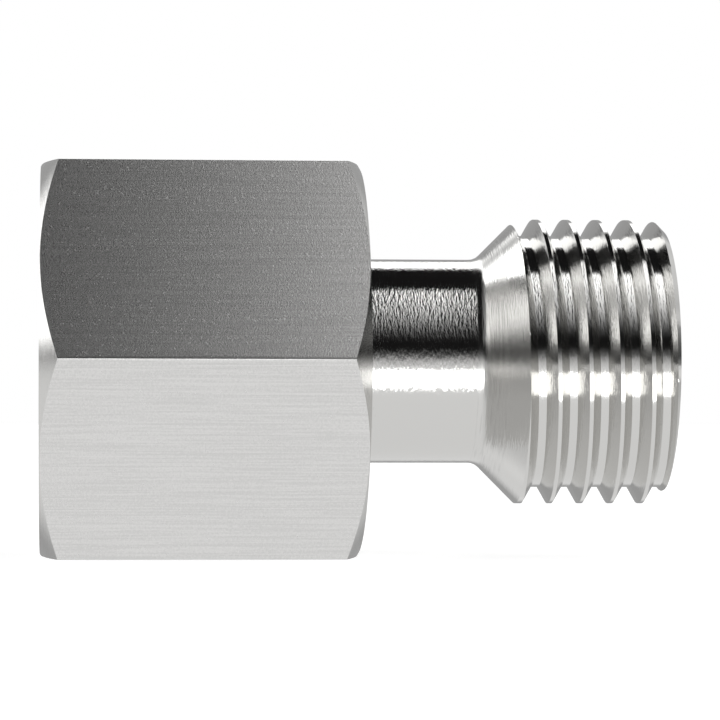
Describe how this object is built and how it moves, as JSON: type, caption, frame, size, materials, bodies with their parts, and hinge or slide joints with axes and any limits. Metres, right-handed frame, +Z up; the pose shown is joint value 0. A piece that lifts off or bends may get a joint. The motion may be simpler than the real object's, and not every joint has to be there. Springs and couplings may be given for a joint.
{
  "type": "tube reducer",
  "caption": "Stainless tube reducer: a plain stub with a cutting ring and a free-turning hexagon union nut for a large tube fitting, and a male thread with a 24 degree cone for a smaller tube.",
  "frame": {"origin": "centre of the stub's end face, on the flow axis", "axes": "+X along the flow axis from the stub to the male thread, +Z up, with two flats of the nut level"},
  "size_m": [0.0305, 0.022, 0.019],
  "materials": {
    "turned_steel": "bright turned stainless steel",
    "drawn_steel": "fine-ground stainless hexagon bar with turned ends",
    "hardened_steel": "satin hardened stainless steel"
  },
  "bodies": {
    "reducer": {"reducer_body": "turned_steel", "cutting_ring": "hardened_steel"},
    "nut": {"union_nut": "drawn_steel"}
  },
  "joints": [
    {"name": "nut_spin", "type": "hinge", "parent": "reducer", "child": "nut", "pos_m": [0, 0, 0], "axis": [1, 0, 0], "continuous": true}
  ]
}
